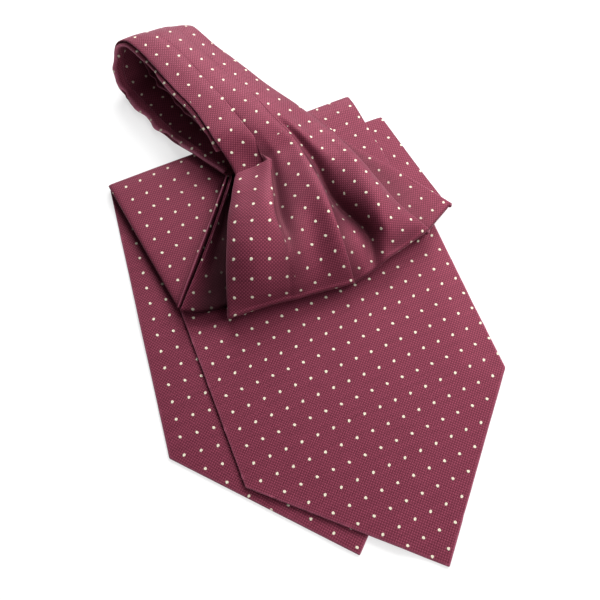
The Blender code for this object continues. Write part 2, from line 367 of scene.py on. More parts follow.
# %% [markdown]
# ## The four flat layers
# Both blades and both returns are pressed flat and lie on one another, so
# each is cut from a grid along its outline and laid on whatever is below it.

# %% Flat layers: outlines
BLADE_WIDTH = 142.5
POINT_LENGTH = BLADE_WIDTH / 2
LAYER = 1.8              # one layer and the air over it
EASE_START = 12.0        # a layer stays up this far past the edge below it
EASE_LENGTH = 16.0
CELL = 4.5

REAR_TURN = 19.1
FRONT_TURN = 24.5
REAR_TIP = (27.6, -126.0)
FRONT_TIP = (68.5, -131.0)
REAR_FOLD = ((-105.4, 64.6), (28.6, 124.0))
FRONT_FOLD = ((-86.4, 53.2), (47.3, 110.0))
REAR_LOWER_FOLD = ((-62.4, -7.5), (67.0, 42.6))
FRONT_LOWER_FOLD = ((-34.0, -10.5), (82.0, 53.5))


def blade_outline(tip, turn, fold):
    across = Vector((math.cos(math.radians(turn)), math.sin(math.radians(turn))))
    along = Vector((-across.y, across.x))
    point = Vector(tip)
    left = point + along * POINT_LENGTH - across * BLADE_WIDTH / 2
    right = point + along * POINT_LENGTH + across * BLADE_WIDTH / 2
    return [Vector(fold[0]), left, point, right, Vector(fold[1])]


def return_outline(upper, lower):
    return [Vector(upper[0]), Vector(lower[0]), Vector(lower[1]), Vector(upper[1])]


LAYERS = (
    ("rear_blade", blade_outline(REAR_TIP, REAR_TURN, REAR_FOLD)),
    ("front_blade", blade_outline(FRONT_TIP, FRONT_TURN, FRONT_FOLD)),
    ("front_return", return_outline(FRONT_FOLD, FRONT_LOWER_FOLD)),
    ("rear_return", return_outline(REAR_FOLD, REAR_LOWER_FOLD)),
)


def edges_of(outline):
    for start, end in zip(outline, outline[1:] + outline[:1]):
        run = (end - start).normalized()
        yield start, Vector((run.y, -run.x))


def distance_outside(outline, x, y):
    point = Vector((x, y))
    return max((point - start).dot(normal) for start, normal in edges_of(outline))


def underside(level, x, y):
    height = 0.0
    for _, outline in LAYERS[:level]:
        beyond = distance_outside(outline, x, y) - EASE_START
        height += LAYER * (1 - smooth_step(beyond / EASE_LENGTH))
    return height


# %% Flat layers: blades
def blade(level, anchor, seed):
    name, outline = LAYERS[level]
    low = Vector((min(p.x for p in outline), min(p.y for p in outline)))
    high = Vector((max(p.x for p in outline), max(p.y for p in outline)))
    size = high - low
    bm = bmesh.new()
    bmesh.ops.create_grid(bm, x_segments=round(size.x / CELL), y_segments=round(size.y / CELL), size=0.5)
    bmesh.ops.transform(bm, matrix=Matrix.Diagonal((size.x, size.y, 1)).to_4x4(), verts=bm.verts)
    bmesh.ops.translate(bm, vec=((low + high) / 2).to_3d(), verts=bm.verts)
    for inset in (1.1, 0.0):        # a first cut just inside keeps the folded edge crisp
        for start, normal in edges_of(outline):
            everything = list(bm.verts) + list(bm.edges) + list(bm.faces)
            cut_at = (start - normal * inset).to_3d()
            bmesh.ops.bisect_plane(bm, geom=everything, dist=0.01, clear_outer=inset == 0.0,
                                   plane_co=cut_at, plane_no=normal.to_3d())
    bmesh.ops.remove_doubles(bm, verts=bm.verts, dist=0.25)
    for vert in bm.verts:
        x, y = vert.co.x, vert.co.y
        rim = -distance_outside(outline, x, y)
        z = underside(level, x, y) + CLOTH_WALL + 0.15
        z += ripple(vert.co, 46, 0.35, seed) * smooth_step(rim / 8)
        z += max(ripple(vert.co, 30, 0.8, seed + 3), 0) * (1 - smooth_step(rim / 20))
        vert.co = at((x, y, max(z, CLOTH_WALL + 0.1)))
    bm.normal_update()
    if sum(face.normal.z for face in bm.faces) < 0:
        bmesh.ops.reverse_faces(bm, faces=bm.faces)
    obj = keep(bm, name + "_silk")
    edge = [distance_outside(outline, v.co.x / MM + MIDDLE_X, v.co.y / MM + MIDDLE_Y)
            for v in obj.data.vertices]
    # painted highlight along the blade's edges
    write_attribute(obj, "painted_rim_highlight", [1 - smooth_step(-d / 1.2) for d in edge])
    unwrap(obj)
    lay_pattern(obj, [anchor])
    give_wall(obj)
    return obj


rear_blade = blade(0, (-73.8, -48.0, 105.8, 1.0), 1.0)
front_blade = blade(1, (5.0, -62.7, 113.8, 1.0), 5.0)

# %% [markdown]
# A return is the same cloth, coming back from the upper fold.  Its grid runs
# from the lower fold to the upper one and then round the roll of the fold,
# down to the blade it belongs to.

# %% Flat layers: returns
RETURN_ACROSS = 36
RETURN_ALONG = 22
ROLL_STEPS = 6


def folded_return(level, blade_level, anchor, seed):
    name, outline = LAYERS[level]
    upper_left, lower_left, lower_right, upper_right = outline
    away = Vector((-(upper_right - upper_left).y, (upper_right - upper_left).x)).normalized()
    rows = RETURN_ALONG + ROLL_STEPS
    bm = bmesh.new()
    bmesh.ops.create_grid(bm, x_segments=RETURN_ACROSS, y_segments=rows, size=0.5)
    for vert in bm.verts:
        across = vert.co.x + 0.5
        row = round((vert.co.y + 0.5) * rows)
        along = min(row / RETURN_ALONG, 1.0)
        low = lower_left.lerp(lower_right, across)
        high = upper_left.lerp(upper_right, across)
        spot = low.lerp(high, along)
        z = underside(level, spot.x, spot.y) + CLOTH_WALL + 0.1
        z += ripple(spot.to_3d(), 40, 0.4, seed) * smooth_step(along * 6)
        if row > RETURN_ALONG:
            turn = math.pi * (row - RETURN_ALONG) / ROLL_STEPS
            foot = underside(blade_level, spot.x, spot.y) + CLOTH_WALL * 0.5
            radius = max((z - foot) / 2, 0.8)
            spot = spot + away * math.sin(turn) * min(radius, 1.6)
            z = z - radius * (1 - math.cos(turn))
        vert.co = at((spot.x, spot.y, z))
    bm.normal_update()
    if sum(face.normal.z for face in bm.faces) < 0:
        bmesh.ops.reverse_faces(bm, faces=bm.faces)
    obj = keep(bm, name + "_silk")
    unwrap(obj)
    lay_pattern(obj, [anchor])
    give_wall(obj)
    return obj


front_return = folded_return(2, 1, (60.0, 80.0, 60.0, 1.0), 9.0)
rear_return = folded_return(3, 0, (-79.1, 51.9, 119.6, 1.0), 13.0)

# %% [markdown]
# ## The front half: fan and neckband
# This is one uncut stretch.  It starts at the lower fold as a fan of soft
# lobes, gathers into pleats, runs round the loop as the neckband and ends
# under itself.  It is laid through fold lines: the rows of a grid follow its
# length and the columns follow its folds, so a pleat is just three columns
# close together, one of them tucked back under.

# %% Fan: fold lines from the neckband down to the lower fold
FAN = (
    # name, then points from the lip to the lower fold
    ("left underlay",
     (-24, 60, 13.5), (-26, 44, 16), (-27, 30, 16.5),
     (-27.5, 15, 16), (-27, 1, 12.5), (-27, -7, 9.6)),
    ("left edge",
     (-33.7, 62.2, 21.5), (-35.5, 46.6, 25), (-36.5, 33.0, 27),
     (-36.6, 17.2, 26.5), (-36.6, 0.5, 20), (-36.1, -14.1, 12)),
    ("left crown",
     (-24.8, 66.8, 23), (-25.0, 48.9, 29.3), (-23.8, 32.7, 33),
     (-22.8, 15.4, 31.5), (-21.7, 1.3, 24.5), (-21.2, -8.8, 12)),
    ("pleat edge",
     (-15.5, 70.7, 25), (-14.1, 53.4, 29.5), (-12.5, 34.5, 31.8),
     (-7.4, 20.0, 28.6), (-5.2, 6.9, 22.2), (-4.8, -4.2, 12)),
    ("pleat foot",
     (-15.3, 73.5, 24.0), (-13.7, 57.8, 22.3), (-11.2, 38.6, 22.5),
     (-4.2, 20.4, 26.6), (-0.4, 7.4, 21.0), (-0.6, -3.2, 12)),
    ("middle hollow",
     (-8.7, 75.9, 25.2), (-3.6, 63.5, 25.8), (1.0, 49.8, 27.4),
     (5.6, 32.7, 26.0), (9.1, 15.9, 20.9), (11.2, 0.4, 12)),
    ("ridge",
     (-2.1, 80.9, 25.4), (5.6, 65.5, 26.8), (12.7, 49.3, 28.2),
     (18.1, 33.8, 27.4), (23.7, 17.8, 21.4), (28.1, 5.3, 12)),
    ("trough",
     (-1.1, 83.4, 22.5), (8.0, 71.1, 18), (15.5, 54.8, 13.5),
     (23.8, 44.4, 12.2), (35.2, 32.0, 12), (39.7, 13.3, 11.5)),
    ("right crown",
     (4.0, 92.0, 21.5), (17.1, 78.2, 21.8), (27.5, 61.5, 24),
     (36.8, 45.2, 25), (44.8, 31.6, 21.4), (53.5, 24.2, 12)),
    ("right edge",
     (6.1, 103.2, 17), (18.0, 90.5, 18.6), (30.6, 74.2, 21),
     (41.3, 59.3, 21.4), (51.6, 47.2, 18.2), (69.0, 35.6, 11.5)),
    ("right foot",
     (6.2, 106.3, 12.2), (17.8, 94.3, 11.4), (30.5, 78.7, 11.2),
     (41.4, 63.8, 11), (51.9, 49.9, 10.8), (69.4, 36.5, 9.8)),
    ("right underlap",
     (7.3, 108.8, 10.5), (25.0, 91.3, 10), (38.7, 81.9, 9.6),
     (54.8, 72.0, 9.2), (68.0, 62.8, 9), (82.4, 52.9, 8)),
)
FAN_LINES = [row[1:] for row in FAN]

# %% Neckband: its outer face from the fan round the loop to the rear gather
NECKBAND = (
    # section          left edge, left pleat, right pleat, right edge
    ("front gather",  (-34.3, 62.5, 23.5), (-16.1, 70.5, 26.2), (-2.1, 81.2, 25.8), (6.2, 104.8, 16.8)),
    ("throat",        (-44.5, 78.1, 28.4), (-27.0, 85.5, 28.2), (-16.5, 97.0, 27.8), (-5.5, 111.6, 19.7)),
    ("upper one",     (-56.0, 96.3, 30.4), (-42.0, 105.0, 30.0), (-28.5, 112.0, 27.5), (-20.5, 122.6, 21.3)),
    ("upper two",     (-68.5, 110.3, 31.3), (-55.0, 120.5, 31.0), (-43.0, 125.5, 28.0), (-34.5, 134.6, 22.5)),
    ("upper three",   (-82.6, 128.0, 31.5), (-69.5, 137.0, 31.5), (-58.5, 142.0, 28.5), (-50.0, 148.1, 23.5)),
    ("brow",          (-95.0, 140.8, 31.8), (-81.0, 147.5, 30.5), (-69.5, 153.5, 27.0), (-60.0, 157.7, 24.0)),
    ("turn high",     (-103.0, 144.0, 27.5), (-87.5, 152.6, 25.0), (-75.0, 158.6, 22.5), (-64.0, 161.5, 20.0)),
    ("turn middle",   (-107.8, 139.5, 18.0), (-91.0, 150.5, 16.5), (-78.5, 156.5, 15.0), (-67.5, 160.6, 12.0)),
    ("turn low",      (-107.8, 133.0, 8.0), (-91.0, 145.0, 7.5), (-78.5, 152.5, 7.0), (-67.0, 157.8, 6.5)),
    ("turn foot",     (-103.0, 126.5, 1.8), (-87.0, 139.5, 1.8), (-74.5, 147.5, 1.8), (-63.0, 153.0, 1.8)),
    ("lower one",     (-96.0, 118.5, 0.6), (-80.5, 131.5, 0.6), (-68.0, 139.5, 0.6), (-56.5, 145.5, 0.6)),
    ("lower two",     (-84.0, 105.0, 0.6), (-69.0, 118.0, 0.6), (-56.0, 126.0, 0.6), (-44.0, 133.0, 0.6)),
    ("lower three",   (-73.0, 93.5, 3.0), (-58.5, 104.5, 3.0), (-44.5, 112.5, 3.0), (-31.5, 119.5, 3.0)),
    ("lower four",    (-61.0, 82.5, 8.2), (-46.5, 91.5, 8.4), (-31.0, 99.0, 8.4), (-17.0, 105.5, 8.4)),
    ("rear gather",   (-39.0, 67.3, 9.6), (-28.5, 72.5, 9.6), (-17.5, 79.0, 9.5), (-5.6, 86.6, 9.4)),
)
BAND_LINES = [[Vector(row[column]) for row in NECKBAND] for column in range(1, 5)]
BAND_LAST = len(NECKBAND) - 1


def band_point(section, share):
    """A spot on the neckband's outer face: section number, share across."""
    points = [curve_through(line, section / BAND_LAST) for line in BAND_LINES]
    return curve_through(points, share)


def band_outward(section, share):
    """Which way the outer face looks there."""
    along = band_point(section + 0.3, share) - band_point(section - 0.3, share)
    across = band_point(section, min(share + 0.1, 1.0)) - band_point(section, max(share - 0.1, 0.0))
    return across.cross(along).normalized()


print("outward at the throat", band_outward(1, 0.5), "and below", band_outward(11, 0.5))

# %% Front half: columns
# name, place along the fan's fold lines, share across the neckband,
# then how far it is tucked back and sunk, in the fan and in the neckband
COLUMNS = (
    # name             fan    band    fan tuck      band tuck
    ("inner ply",      0.00,  0.30,   (0.0, 0.0),   (0.0, 1.9)),
    ("inner edge",     0.82,  0.03,   (0.0, 0.6),   (0.0, 1.7)),
    ("left rim",       1.00,  0.00,   (0.0, 0.0),   (0.0, 0.4)),
    ("left shoulder",  1.14,  0.04,   (0.0, -0.5),  (0.0, 0.0)),
    ("left slope",     1.50,  0.10,   (0.0, -0.3),  (0.0, -0.2)),
    ("left crown",     2.00,  0.18,   (0.0, 0.0),   (0.0, -0.3)),
    ("pleat slope",    2.55,  0.26,   (0.0, -0.4),  (0.0, -0.2)),
    ("pleat shoulder", 2.88,  0.31,   (0.0, -0.4),  (0.0, 0.0)),
    ("pleat edge",     3.00,  0.335,  (0.0, 0.2),   (0.0, 0.1)),
    ("pleat tuck",     3.00,  0.335,  (3.4, 2.4),   (2.0, 1.6)),
    ("pleat foot",     4.00,  0.352,  (0.0, 0.3),   (0.0, 0.6)),
    ("middle crest",   4.45,  0.42,   (0.0, -2.6),  (0.0, -0.1)),
    ("middle hollow",  5.00,  0.48,   (0.0, 0.0),   (0.0, -0.2)),
    ("ridge slope",    5.60,  0.58,   (0.0, -0.3),  (0.0, -0.3)),
    ("ridge shoulder", 5.88,  0.64,   (0.0, -0.3),  (0.0, -0.1)),
    ("ridge",          6.00,  0.665,  (0.0, 0.2),   (0.0, 0.1)),
    ("ridge tuck",     6.00,  0.665,  (2.8, 3.0),   (1.2, 1.1)),
    ("small lobe",     6.55,  0.678,  (0.0, -4.5),  (0.0, 0.3)),
    ("trough",         7.00,  0.69,   (0.0, 0.0),   (0.0, 0.5)),
    ("rise",           7.40,  0.76,   (0.0, -3.5),  (0.0, 0.0)),
    ("right crown",    8.00,  0.84,   (0.0, 0.0),   (0.0, -0.3)),
    ("right slope",    8.60,  0.92,   (0.0, -0.6),  (0.0, -0.2)),
    ("right shoulder", 8.90,  0.97,   (0.0, -0.5),  (0.0, 0.0)),
    ("right edge",     9.00,  1.00,   (0.0, 0.0),   (0.0, 0.4)),
    ("right tuck",     9.00,  1.00,   (2.6, 2.4),   (1.6, 1.5)),
    ("right foot",    10.00,  0.94,   (0.0, 0.0),   (0.0, 1.9)),
    ("underlap",      10.50,  0.88,   (0.0, -0.3),  (0.0, 2.0)),
    ("underlap slope", 10.90, 0.84,   (0.0, -0.2),  (0.0, 2.1)),
    ("underlap edge", 11.00,  0.82,   (0.0, 0.0),   (0.0, 2.2)),
    ("underlap hem",  11.00,  0.80,   (2.0, 1.3),   (0.0, 2.4)),
)
COLUMN_NAMES = [row[0] for row in COLUMNS]
LIP_COLUMNS = COLUMN_NAMES.index("pleat tuck")      # columns before this one have the folded lip
SEAM_COLUMNS = ("inner edge", "pleat tuck", "ridge tuck", "right tuck", "underlap hem")
# Painted shade down in the folds and beside the pleats' edges, at six stations from the lip to the lower fold
FOLD_PAINTED_SHADE = {
    "inner ply": (0.9, 0.9, 0.9, 0.9, 0.8, 0.6),
    "inner edge": (0.8, 0.8, 0.8, 0.8, 0.7, 0.5),
    "left slope": (0.0, 0.0, 0.0, 0.05, 0.05, 0.0),
    "pleat shoulder": (0.0, 0.0, 0.05, 0.3, 0.3, 0.1),
    "pleat edge": (0.0, 0.0, 0.1, 0.4, 0.4, 0.1),
    "pleat tuck": (0.9, 0.9, 0.8, 0.45, 0.4, 0.1),
    "pleat foot": (0.5, 0.8, 0.75, 0.6, 0.4, 0.1),
    "middle crest": (0.0, 0.3, 0.35, 0.35, 0.15, 0.0),
    "ridge tuck": (0.6, 0.9, 0.9, 0.9, 0.8, 0.6),
    "small lobe": (0.4, 0.8, 0.9, 0.6, 0.0, 0.0),
    "trough": (0.1, 0.4, 0.9, 1.0, 0.95, 0.5),
    "rise": (0.0, 0.05, 0.15, 0.25, 0.25, 0.05),
    "right tuck": (0.8, 0.9, 0.9, 0.9, 0.8, 0.6),
    "right foot": (0.6, 0.75, 0.75, 0.7, 0.6, 0.4),
    "underlap": (0.1, 0.5, 0.55, 0.5, 0.3, 0.1),
}
# How much of its tuck a pleat keeps, at the same six stations
PLEAT_FADE = {
    "middle crest": (0.2, 0.5, 0.5, 0.2, 0.0, 0.0),
    "pleat tuck": (1.0, 1.0, 0.9, 0.2, 0.0, 0.0),
    "ridge tuck": (0.6, 0.8, 0.8, 0.8, 0.75, 0.5),
    "small lobe": (0.0, 0.0, 0.0, 0.1, 0.5, 0.2),
}
# Where a tuck's column lies when its pleat has opened flat
OPENS_TO = {"pleat tuck": 3.5, "ridge tuck": 6.25}
# The pleats open out along the neckband, and each tuck slides this share across it
BAND_PLEATS = {
    "small lobe": 0.006, "pleat tuck": 0.008, "pleat foot": 0.0, "ridge tuck": 0.012,
    "trough": 0.0, "ridge": 0.0, "pleat edge": 0.0,
}
STATION_STEPS = 5        # six stations have five steps between them


def at_station(table, share):
    """Read a table of six stations at a share (0 at the lip, 1 at the lower fold)."""
    step = min(int(share * STATION_STEPS), STATION_STEPS - 1)
    return table[step] + (table[step + 1] - table[step]) * (share * STATION_STEPS - step)


def fan_point(place, share):
    points = [curve_through(line, share) for line in FAN_LINES]
    return curve_through(points, place / (len(FAN_LINES) - 1))


def fan_spot(column, share):
    name, place, _, (back, sink), _ = COLUMNS[column]
    fade = 1.0
    if name in PLEAT_FADE:
        fade = at_station(PLEAT_FADE[name], share)
    point = fan_point(place, share)
    if name in OPENS_TO:
        point = point.lerp(fan_point(OPENS_TO[name], share), 1 - fade)
    if back:
        inward = fan_point(place - 0.5, share) - point
        inward.z = 0
        point = point + inward.normalized() * back * fade
    point.z -= sink * fade
    return point


def edge_wave(section, share):
    """The left edge wanders a little once the band has turned under."""
    if share > 0.12:
        return Vector((0, 0, 0))
    amount = 2.4 * smooth_step((section - 5) / 2) * (1 - share / 0.12)
    sideways = (band_point(section, 0.1) - band_point(section, 0)).normalized()
    return sideways * amount * (noise.noise(Vector((section * 1.9, 3.3, 0.5))) + 0.25)


def band_spot(column, section):
    _, _, share, _, (back, sink) = COLUMNS[column]
    fade = 1.0
    name = COLUMNS[column][0]
    if name in BAND_PLEATS:
        fade = max(0.12, 1 - max(section - 0.7, 0) / 1.1)
        share += BAND_PLEATS[name] * (1 - fade)
    point = band_point(section, share)
    if back:
        point += (band_point(section, share - 0.1) - point).normalized() * back * max(fade - 0.12, 0)
    point += edge_wave(section, share)
    return point - band_outward(section, share) * sink * fade


# %% Front half: stations along one column
# how far back from the lip and how far below it
LIP_EDGE = ((1.6, -0.1), (0.0, 0.7), (1.8, 2.3), (9.0, 3.8), (-2.0, 3.3))
LIP_TOWARDS_BAND = (0.20, 0.30, 0.40, 0.55)      # shares towards the throat
FOLD_INSET = 2.0         # the roll starts this far inside
# how far out past the fold and how far below it
FOLD_ROLL = ((1.0, 0.3), (1.7, 1.6), (1.1, 3.6), (-7.0, 4.6))
ROLL_FLOOR = 6.6
FAN_STATIONS = 12
BAND_START = 1.0
BAND_STATIONS = 27


def stations(column):
    """From the hidden end of the fold's roll, up the fan and round the band."""
    fold, before = fan_spot(column, 1.0), fan_spot(column, 0.96)
    away = fold - before
    away.z = 0
    away.normalize()
    fold -= away * FOLD_INSET
    roll = []
    for out, drop in FOLD_ROLL:
        spot = fold + away * out
        spot.z = max(fold.z - drop, min(ROLL_FLOOR, fold.z - 0.4 * drop))
        roll.append(spot)
    line = roll[::-1]
    line.append(fold)
    line += [fan_spot(column, 1 - i / FAN_STATIONS) for i in range(1, FAN_STATIONS)]
    lip = fan_spot(column, 0.0)
    throat = band_spot(column, BAND_START)
    down = fan_spot(column, 0.05) - lip
    down.z = 0
    down.normalize()
    if column < LIP_COLUMNS:
        for back, below in LIP_EDGE:
            line.append(lip + down * back - Vector((0, 0, below)))
    else:
        line.append(lip)
        line += [lip.lerp(throat, share) for share in LIP_TOWARDS_BAND]
    step = (BAND_LAST - BAND_START) / (BAND_STATIONS - 1)
    line += [band_spot(column, BAND_START + step * i) for i in range(BAND_STATIONS)]
    return line


LINES = [stations(column) for column in range(len(COLUMNS))]
ROW_STEPS = len(FOLD_ROLL) + FAN_STATIONS + len(LIP_EDGE) + BAND_STATIONS - 1
ROWS = ROW_STEPS * 2
ACROSS = (len(COLUMNS) - 1) * 2
HIDDEN_LIP_ROW = (len(FOLD_ROLL) + FAN_STATIONS + 3) * 2
print("front half:", ROWS, "rows by", ACROSS, "cells")

# %% Front half: the cloth
CRISP_FROM = 14          # rows up from the roll where the painted highlight on the pleats' edges begins
SOFT_FROM = 42           # and where it fades again, on the neckband
LOWEST_FACE = 0.35       # mm above the table
TURN_ROW = 58            # the row where the neckband starts to turn down round the loop
LIP_ROW = (len(FOLD_ROLL) + FAN_STATIONS) * 2
CREASE_NAMES = ("left rim", "pleat edge", "ridge", "right edge", "underlap edge")


def painted_shade_in_folds(row, cell):
    """How much painted shade a crossing of the grid gets: 0 in the open, 1 deep in a fold."""
    share = min(max((LIP_ROW - row) / (2 * FAN_STATIONS), 0.0), 1.0)
    found = []
    for column in (cell // 2, (cell + 1) // 2):
        table = FOLD_PAINTED_SHADE.get(COLUMN_NAMES[column], (0.0,) * 6)
        found.append(at_station(table, share))
    if cell >= LIP_COLUMNS * 2:
        open_air = smooth_step((row - LIP_ROW) / 12)
    else:
        open_air = smooth_step((row - LIP_ROW - 4) / 6)
    return sum(found) / 2 * (1 - open_air)


def front_half():
    bm = bmesh.new()
    bmesh.ops.create_grid(bm, x_segments=ACROSS, y_segments=ROWS, size=0.5)
    sections = [[curve_through(line, row / ROWS) for line in LINES] for row in range(ROWS + 1)]
    # painted highlight along folded rims, and painted shade down in the folds
    rim_highlight = bm.verts.layers.float.new("painted_rim_highlight")
    depth = bm.verts.layers.float.new("painted_fold_shade")
    seam_cells = [COLUMN_NAMES.index(name) * 2 for name in SEAM_COLUMNS]
    crease_cells = [COLUMN_NAMES.index(name) * 2 for name in CREASE_NAMES]
    rim_cell = COLUMN_NAMES.index("left rim") * 2
    pleat_cells = [COLUMN_NAMES.index(name) * 2 for name in ("pleat edge", "ridge")]
    cell_of = {}
    for vert in bm.verts:
        row = round((vert.co.y + 0.5) * ROWS)
        cell = round((vert.co.x + 0.5) * ACROSS)
        cell_of[vert] = (row, cell)
        # painted highlight on the creases: only where the pleats are crisp, and stronger on the left rim once
        # the band has turned under into shade
        crisp = 1.0
        if cell in pleat_cells:
            crisp = 0.5 * smooth_step((row - CRISP_FROM) / 10) * (1 - smooth_step((row - SOFT_FROM) / 8))
        rim_highlight_strength = 0.8 + 1.4 * smooth_step((row - TURN_ROW) / 8) if cell == rim_cell else 0.8
        vert[rim_highlight] = rim_highlight_strength * crisp if cell in crease_cells else 0.0
        vert[depth] = painted_shade_in_folds(row, cell)
        vert.co = curve_through(sections[row], cell / ACROSS)
    for edge in bm.edges:
        (row_a, cell_a), (row_b, cell_b) = cell_of[edge.verts[0]], cell_of[edge.verts[1]]
        if cell_a == cell_b and cell_a in seam_cells:
            edge.seam = True
        if row_a == row_b == HIDDEN_LIP_ROW:
            edge.seam = True
    bm.normal_update()
    for vert in bm.verts:
        vert.co += vert.normal * (ripple(vert.co, 17, 0.5, 21.0) + ripple(vert.co, 7, 0.16, 22.0))
    for vert in bm.verts:
        vert.co.z = max(vert.co.z, LOWEST_FACE)
        vert.co = at(vert.co)
    bm.normal_update()
    fan_faces = [f for f in bm.faces if f.calc_center_median().y < at((0, 60, 0)).y]
    if sum(f.normal.z for f in fan_faces) < 0:
        bmesh.ops.reverse_faces(bm, faces=bm.faces)
    return keep(bm, "fan_and_neckband_silk")


fan = front_half()
unwrap(fan)
lay_pattern(fan, [
    (-24.0, 20.0, 90.0, 1.07),      # left lobe
    (4.0, 52.0, 124.0, 1.0),       # middle lobe
    (34.0, 50.0, 131.0, 1.0),      # right lobe
    (60.0, 62.0, 126.0, 1.0),      # underlap
    (-60.0, 112.0, 133.0, 1.0),    # neckband, left
])
give_wall(fan, 1.1)

# %% [markdown]
# ## The neckband's inner ply
# The band is pleated double, so inside the loop there is a second ply with
# its own folded edge and its own pleat.  It follows the outer face at a
# steady depth.

# %% Inner ply
INNER = (
    # name            share   depth
    ("left hem",      0.10,   3.6),
    ("left rim",      -0.012, 3.1),
    ("left shoulder", 0.04,   2.7),
    ("left zone",     0.16,   2.6),
    ("left valley",   0.30,   2.7),
    ("pleat tuck",    0.38,   3.0),
    ("pleat edge",    0.29,   4.6),
    ("pleat crown",   0.36,   4.7),
    ("right zone",    0.60,   4.0),
    ("right slope",   0.85,   4.5),
    ("right rim",     0.96,   4.5),
    ("right hem",     0.92,   4.3),
)
INNER_ROWS = 110
LOOP_PAINTED_SHADE = 0.4        # painted shade inside the loop
RIM_STEP = 1.7           # the ply shows this far beyond the outer one on the upper strand
INNER_FIRST, INNER_LAST = 0.8, 13.9


def inner_spot(column, section):
    name, share, depth = INNER[column]
    if name == "pleat edge":
        share += 0.03 * noise.noise(Vector((section * 2.1, 5.7, 0.5)))
    deep = depth
    if section < 4:
        deep = 2.4 + (depth - 2.4) * 0.5 + 4 * max(1.3 - section, 0)
    point = band_point(section, max(share, 0.0))
    if share < 0.1:
        side = RIM_STEP * (1 - smooth_step((section - 4) / 3)) + 0.4
        point += (point - band_point(section, 0.1)).normalized() * side * (1 - max(share, 0) * 10)
        point += edge_wave(section, max(share, 0.0))
    if name.startswith("pleat") and name != "pleat tuck":
        uneven = 1 + 0.6 * noise.noise(Vector((section * 2.3, 8.1, 0.5)))
        deep += 2.2 * smooth_step((section - 7) / 2) * uneven
    return point - band_outward(section, max(share, 0.0)) * deep


def inner_ply():
    across = (len(INNER) - 1) * 2
    bm = bmesh.new()
    bmesh.ops.create_grid(bm, x_segments=across, y_segments=INNER_ROWS, size=0.5)
    rim_highlight = bm.verts.layers.float.new("painted_rim_highlight")
    depth = bm.verts.layers.float.new("painted_fold_shade")
    sections = []
    for row in range(INNER_ROWS + 1):
        section = INNER_FIRST + (INNER_LAST - INNER_FIRST) * row / INNER_ROWS
        sections.append([inner_spot(column, section) for column in range(len(INNER))])
    rims = [2 * i for i, row in enumerate(INNER) if row[0] in ("left rim", "pleat edge", "right rim")]
    seams = [2 * i for i, row in enumerate(INNER) if row[0] == "pleat tuck"]
    cell_of = {}
    for vert in bm.verts:
        row = round((vert.co.y + 0.5) * INNER_ROWS)
        cell = round((vert.co.x + 0.5) * across)
        cell_of[vert] = cell
        # painted highlight on the ply's rims, strong because they lie in shade
        vert[rim_highlight] = 2.8 if cell in rims else 0.0
        section = INNER_FIRST + (INNER_LAST - INNER_FIRST) * row / INNER_ROWS
        # painted shade inside the loop, left off the rims
        enclosed = smooth_step((section - 2) / 3) * (1 - smooth_step((section - 8.5) / 1.5))
        vert[depth] = LOOP_PAINTED_SHADE * enclosed * (0.0 if cell in rims else 1.0)
        vert.co = curve_through(sections[row], cell / across)
    for edge in bm.edges:
        if cell_of[edge.verts[0]] == cell_of[edge.verts[1]] and cell_of[edge.verts[0]] in seams:
            edge.seam = True
    bm.normal_update()
    for vert in bm.verts:
        vert.co += vert.normal * (ripple(vert.co, 15, 0.6, 31.0))
        vert.co = at(vert.co)
    bm.normal_update()
    lower = [f for f in bm.faces if f.calc_center_median().z < 0.012 and f.calc_center_median().x > -0.085]
    if sum(f.normal.z for f in lower) < 0:
        bmesh.ops.reverse_faces(bm, faces=bm.faces)
    return keep(bm, "neckband_inner_silk")


inner = inner_ply()
unwrap(inner)
lay_pattern(inner, [(-68.0, 100.0, 133.0, 1.0)])
give_wall(inner, 0.9)

# %% [markdown]
# ## The rear gather
# The other half's gather shows only as a dark hollow left of the fan, with two
# folded plies standing along its left edge.  One helper lays both, from lines
# that run down the gather.

# %% Rear gather
REAR_GATHER = (
    # name, then four stations down the gather and the painted shade there
    ("left hem",
     (-36.5, 64.0, 10.6), (-41.5, 46.0, 9.8), (-48.0, 22.0, 9.4), (-56.0, -2.0, 8.6), 1.0),
    ("left rim",
     (-37.4, 66.3, 15.2), (-42.6, 45.0, 15.4), (-49.8, 21.0, 14.0), (-60.2, -7.4, 9.8), 0.0),
    ("left slope",
     (-36.6, 67.0, 14.6), (-41.2, 46.0, 14.2), (-48.0, 22.0, 12.6), (-57.5, -7.8, 9.8), 0.6),
    ("left hollow",
     (-34.5, 69.0, 9.8), (-38.8, 47.0, 8.9), (-43.0, 22.0, 8.8), (-49.0, -8.4, 8.9), 1.0),
    ("middle",
     (-17.0, 77.5, 9.8), (-11.0, 52.0, 8.8), (-10.0, 28.0, 8.8), (-6.0, 5.0, 8.8), 1.0),
    ("right edge",
     (-5.0, 85.5, 9.8), (17.0, 69.0, 8.8), (36.0, 53.5, 8.8), (50.0, 38.0, 8.8), 1.0),
)
REAR_ROWS = 36


